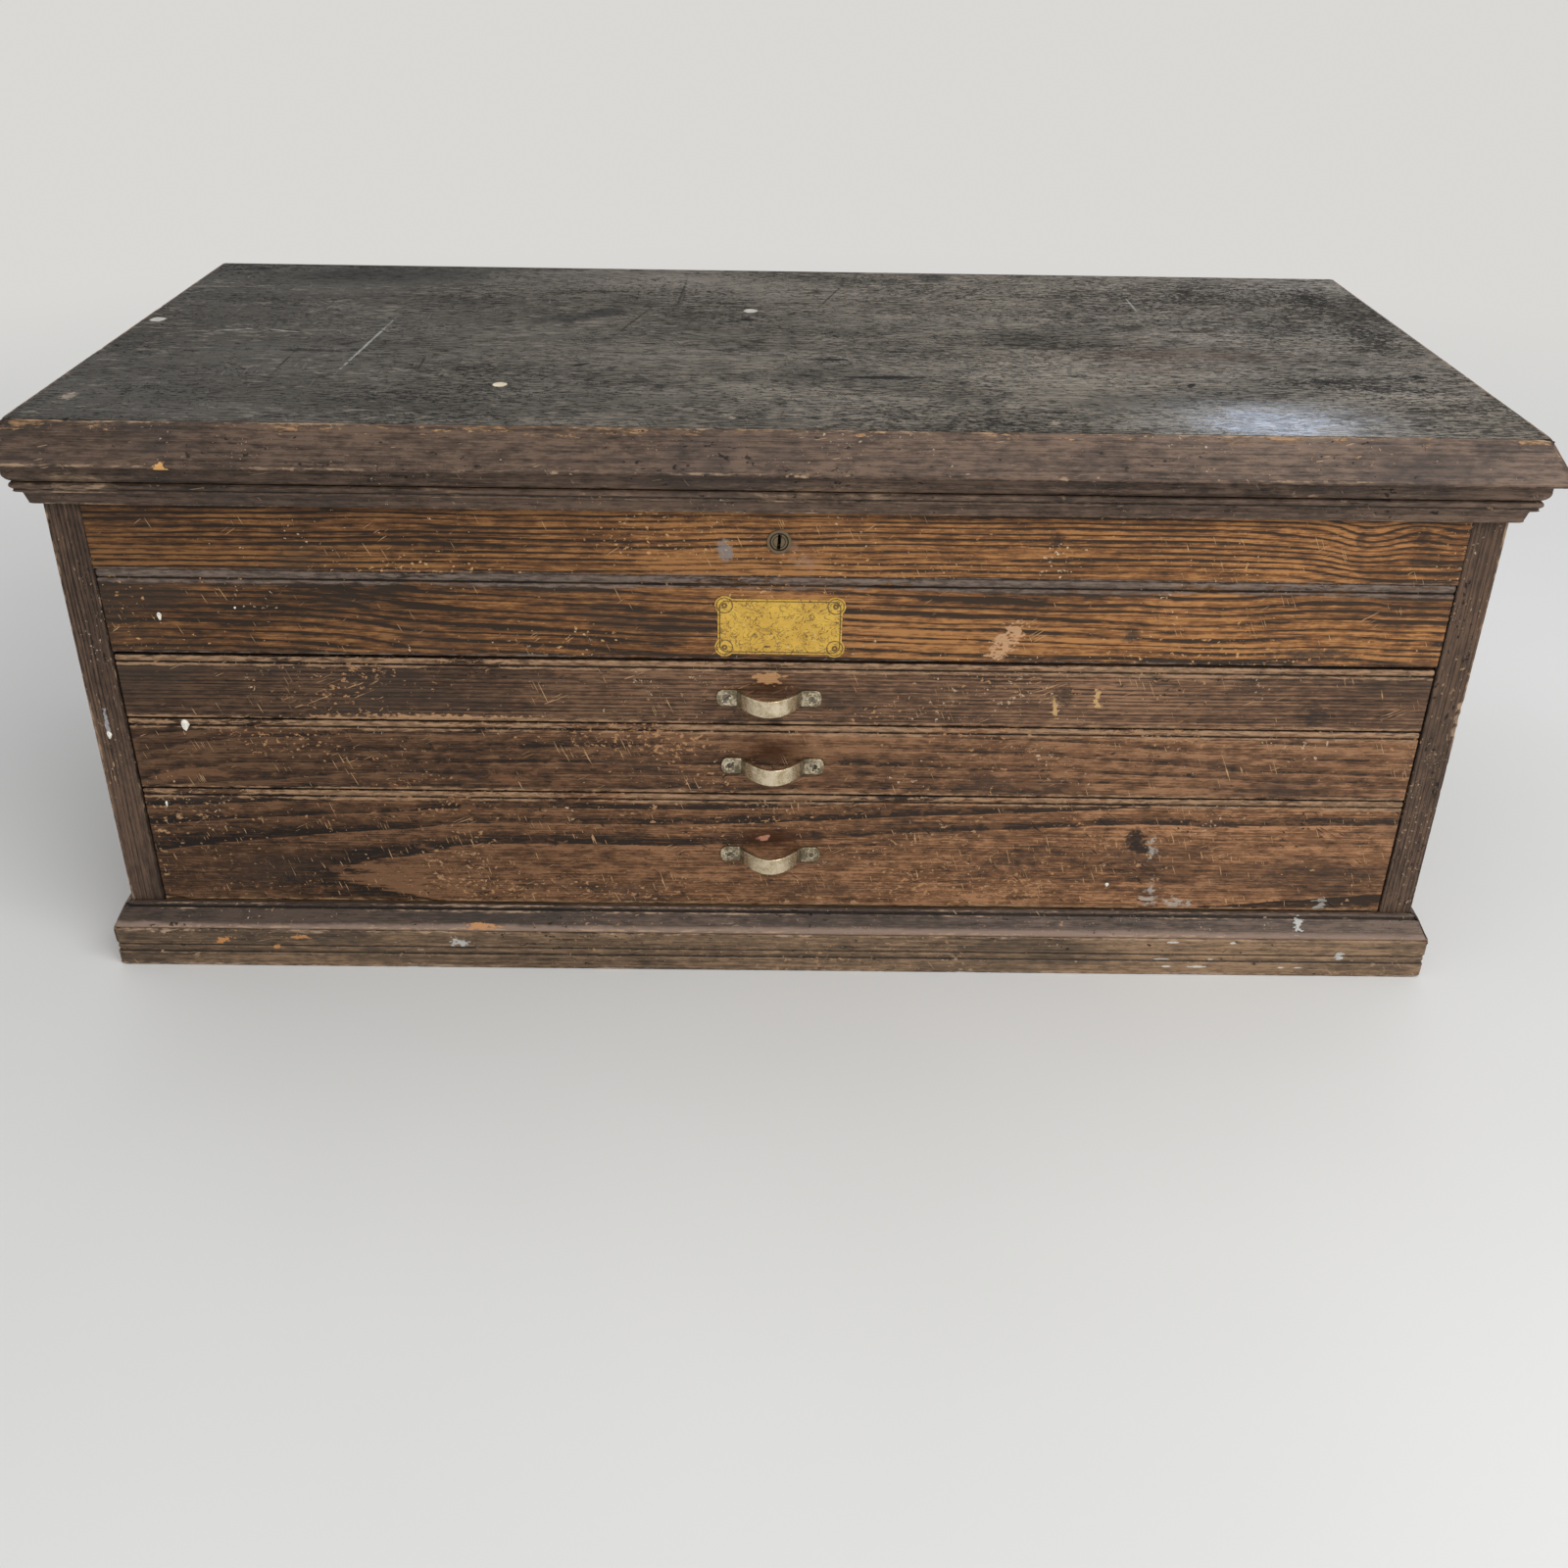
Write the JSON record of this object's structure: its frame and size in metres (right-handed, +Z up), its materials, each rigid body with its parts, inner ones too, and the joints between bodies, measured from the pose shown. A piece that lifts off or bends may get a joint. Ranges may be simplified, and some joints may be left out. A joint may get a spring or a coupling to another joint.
{
  "type": "machinist tool chest",
  "caption": "Long low wooden tool chest: hinged bevelled lid with a lock over a well with a sliding till, stacked full-width drawers with strap pulls, moulded cornice and plinth.",
  "frame": {"origin": "middle of the chest's footprint, on the floor", "axes": "+X to the right facing the drawers, +Y to the back, +Z up"},
  "size_m": [0.9644, 0.465, 0.3986],
  "materials": {
    "dark_wood": "old dark varnish, worn along edges",
    "front_wood": "open-grained wood under old varnish",
    "lid_wood": "blackened, crazed varnish with scratches",
    "inner_wood": "bare aged wood",
    "nickelled_brass": "worn nickel plate over brass",
    "old_steel": "dulled by age",
    "old_brass": "dark patina",
    "label_film": "crazed gold film without words"
  },
  "bodies": {
    "case": {"back_boards": "inner_wood", "base_cap_front": "dark_wood", "base_cap_left": "dark_wood", "base_cap_right": "dark_wood", "bottom_board": "inner_wood", "case_screws": "old_steel", "cornice_front": "dark_wood", "cornice_left": "dark_wood", "cornice_right": "dark_wood", "drawer_runners_left": "inner_wood", "drawer_runners_right": "inner_wood", "hinge_case_leaves": "old_steel", "hinge_pins": "old_steel", "label_plate": "label_film", "label_rail": "front_wood", "lock_barrel": "old_brass", "lock_case": "old_steel", "lock_rail": "front_wood", "plinth_front": "dark_wood", "plinth_left": "dark_wood", "plinth_right": "dark_wood", "side_left": "dark_wood", "side_right": "dark_wood", "till_rails": "inner_wood", "well_floor": "inner_wood"},
    "lid": {"hinge_lid_leaves": "old_steel", "lid_battens": "inner_wood", "lid_panel": "lid_wood", "lid_rim_front": "dark_wood", "lid_rim_left": "dark_wood", "lid_rim_right": "dark_wood", "lid_screws": "old_steel", "lid_skirt_front": "dark_wood", "lid_skirt_left": "dark_wood", "lid_skirt_right": "dark_wood", "lock_link_plate": "old_steel"},
    "top_drawer": {"top_drawer_back": "inner_wood", "top_drawer_bottom": "inner_wood", "top_drawer_front": "front_wood", "top_drawer_pull": "nickelled_brass", "top_drawer_sides": "inner_wood", "top_pull_screws": "old_steel"},
    "middle_drawer": {"middle_drawer_back": "inner_wood", "middle_drawer_bottom": "inner_wood", "middle_drawer_front": "front_wood", "middle_drawer_pull": "nickelled_brass", "middle_drawer_sides": "inner_wood", "middle_pull_screws": "old_steel"},
    "bottom_drawer": {"bottom_drawer_back": "inner_wood", "bottom_drawer_bottom": "inner_wood", "bottom_drawer_front": "front_wood", "bottom_drawer_pull": "nickelled_brass", "bottom_drawer_sides": "inner_wood", "bottom_pull_screws": "old_steel"},
    "till": {"till_bottom": "inner_wood", "till_dividers": "inner_wood", "till_ends": "inner_wood", "till_long_walls": "inner_wood"},
    "lock_plug": {"lock_plug": "old_brass"},
    "lock_bolt": {"lock_bolt": "old_steel"}
  },
  "joints": [
    {"name": "lid_hinge", "type": "hinge", "parent": "case", "child": "lid", "pos_m": [0, 0.22855, 0.3729], "axis": [-1, 0, 0], "range_deg": [0, 100]},
    {"name": "top_drawer_slide", "type": "slide", "parent": "case", "child": "top_drawer", "axis": [0, -1, 0], "range_m": [0, 0.32]},
    {"name": "middle_drawer_slide", "type": "slide", "parent": "case", "child": "middle_drawer", "axis": [0, -1, 0], "range_m": [0, 0.32]},
    {"name": "bottom_drawer_slide", "type": "slide", "parent": "case", "child": "bottom_drawer", "axis": [0, -1, 0], "range_m": [0, 0.32]},
    {"name": "till_slide", "type": "slide", "parent": "case", "child": "till", "axis": [0, -1, 0], "range_m": [0, 0.19]},
    {"name": "lock_plug_turn", "type": "hinge", "parent": "case", "child": "lock_plug", "pos_m": [0, -0.20755, 0.3238], "axis": [0, 1, 0], "range_deg": [0, 90]},
    {"name": "lock_bolt_slide", "type": "slide", "parent": "case", "child": "lock_bolt", "axis": [1, 0, 0], "range_m": [0, 0.006]}
  ],
  "couplings": [
    {"joint": "lock_plug_turn", "follows": "lock_bolt_slide", "rad_per_m": 261.79}
  ]
}
